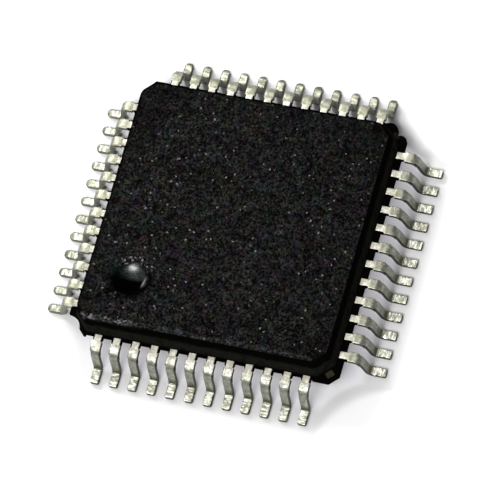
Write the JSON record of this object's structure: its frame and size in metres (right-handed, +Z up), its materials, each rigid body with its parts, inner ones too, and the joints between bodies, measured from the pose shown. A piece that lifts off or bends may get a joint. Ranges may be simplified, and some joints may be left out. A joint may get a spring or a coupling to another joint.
{
  "type": "quad flat pack chip",
  "caption": "Square black moulded chip package with gull-wing leads on all four sides and a round pin 1 dimple, for surface mounting.",
  "frame": {"origin": "on the seating plane of the leads, under the middle of the body", "axes": "+Z up out of the circuit board, away from the soles of the feet; pin 1 is at the -X end of the -Y row and the pins count anticlockwise seen from above"},
  "size_m": [0.009, 0.009, 0.0015],
  "materials": {
    "mould_compound": "matte black epoxy moulding compound with fine silica grain",
    "tinned_lead": "matte tin-lead solder plating on copper alloy, slightly tarnished",
    "lead_frame_copper": "bare etched copper alloy",
    "silver_epoxy": "matte silver-filled epoxy",
    "silicon": "polished silicon",
    "gold_wire": "bright drawn gold wire"
  },
  "bodies": {
    "root": {"moulded_body": "mould_compound", "die_paddle": "lead_frame_copper", "die_attach": "silver_epoxy", "silicon_die": "silicon", "bond_wires_near": "gold_wire", "bond_wires_right": "gold_wire", "bond_wires_far": "gold_wire", "bond_wires_left": "gold_wire", "lead_01": "tinned_lead", "lead_02": "tinned_lead", "lead_03": "tinned_lead", "lead_04": "tinned_lead", "lead_05": "tinned_lead", "lead_06": "tinned_lead", "lead_07": "tinned_lead", "lead_08": "tinned_lead", "lead_09": "tinned_lead", "lead_10": "tinned_lead", "lead_11": "tinned_lead", "lead_12": "tinned_lead", "lead_13": "tinned_lead", "lead_14": "tinned_lead", "lead_15": "tinned_lead", "lead_16": "tinned_lead", "lead_17": "tinned_lead", "lead_18": "tinned_lead", "lead_19": "tinned_lead", "lead_20": "tinned_lead", "lead_21": "tinned_lead", "lead_22": "tinned_lead", "lead_23": "tinned_lead", "lead_24": "tinned_lead", "lead_25": "tinned_lead", "lead_26": "tinned_lead", "lead_27": "tinned_lead", "lead_28": "tinned_lead", "lead_29": "tinned_lead", "lead_30": "tinned_lead", "lead_31": "tinned_lead", "lead_32": "tinned_lead", "lead_33": "tinned_lead", "lead_34": "tinned_lead", "lead_35": "tinned_lead", "lead_36": "tinned_lead", "lead_37": "tinned_lead", "lead_38": "tinned_lead", "lead_39": "tinned_lead", "lead_40": "tinned_lead", "lead_41": "tinned_lead", "lead_42": "tinned_lead", "lead_43": "tinned_lead", "lead_44": "tinned_lead", "lead_45": "tinned_lead", "lead_46": "tinned_lead", "lead_47": "tinned_lead", "lead_48": "tinned_lead"}
  },
  "joints": []
}
